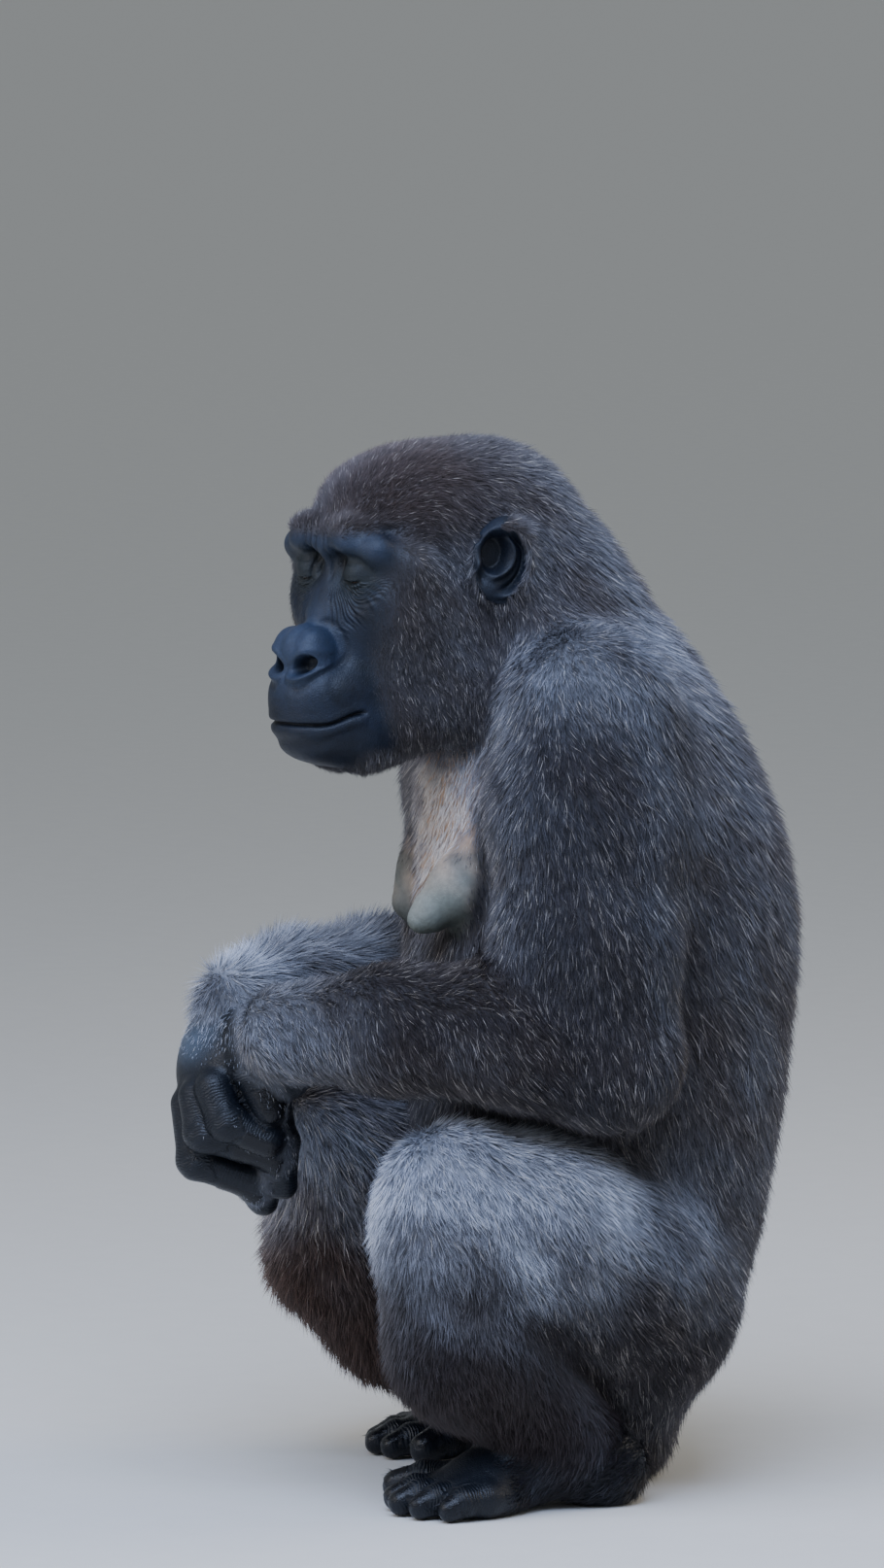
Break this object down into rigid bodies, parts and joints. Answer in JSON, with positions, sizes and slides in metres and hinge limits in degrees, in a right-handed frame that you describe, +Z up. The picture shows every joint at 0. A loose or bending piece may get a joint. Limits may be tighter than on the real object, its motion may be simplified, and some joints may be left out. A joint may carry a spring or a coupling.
{
  "type": "western lowland gorilla, female, museum model",
  "caption": "Life-size female western lowland gorilla squatting, forearms laid over the raised knees, hands hanging in front, head turned a little to the left.",
  "frame": {"origin": "middle of the bounding box, on the floor under the soles and the rump", "axes": "+Z up, -Y the way the body faces, +X towards the animal's left"},
  "size_m": [0.538, 0.5368, 0.8885],
  "materials": {
    "coat": "long dark grey-brown hair with a blue sheen, paler tips, reddish brown on the crown",
    "face": "slate blue-black bare skin, semi-gloss, finely wrinkled; dark hair on crown and cheeks",
    "bare_skin": "black wrinkled skin, semi-gloss",
    "breast_skin": "grey-blue soft skin, thinly haired",
    "eye": "dark brown, wet gloss"
  },
  "bodies": {
    "root": {"breast_left": "breast_skin", "breast_right": "breast_skin", "ear_left": "bare_skin", "ear_right": "bare_skin", "eye_left": "eye", "eye_right": "eye", "foot_left": "bare_skin", "foot_right": "bare_skin", "forearm_left": "coat", "forearm_right": "coat", "hand_left": "bare_skin", "hand_right": "bare_skin", "head": "face", "index_left": "bare_skin", "index_right": "bare_skin", "little_left": "bare_skin", "little_right": "bare_skin", "middle_left": "bare_skin", "middle_right": "bare_skin", "neck": "coat", "pelvis": "coat", "ring_left": "bare_skin", "ring_right": "bare_skin", "shin_left": "coat", "shin_right": "coat", "thigh_left": "coat", "thigh_right": "coat", "thumb_left": "bare_skin", "thumb_right": "bare_skin", "toe_fourth_left": "bare_skin", "toe_fourth_right": "bare_skin", "toe_great_left": "bare_skin", "toe_great_right": "bare_skin", "toe_little_left": "bare_skin", "toe_little_right": "bare_skin", "toe_second_left": "bare_skin", "toe_second_right": "bare_skin", "toe_third_left": "bare_skin", "toe_third_right": "bare_skin", "trunk": "coat", "upper_arm_left": "coat", "upper_arm_right": "coat"}
  },
  "joints": []
}
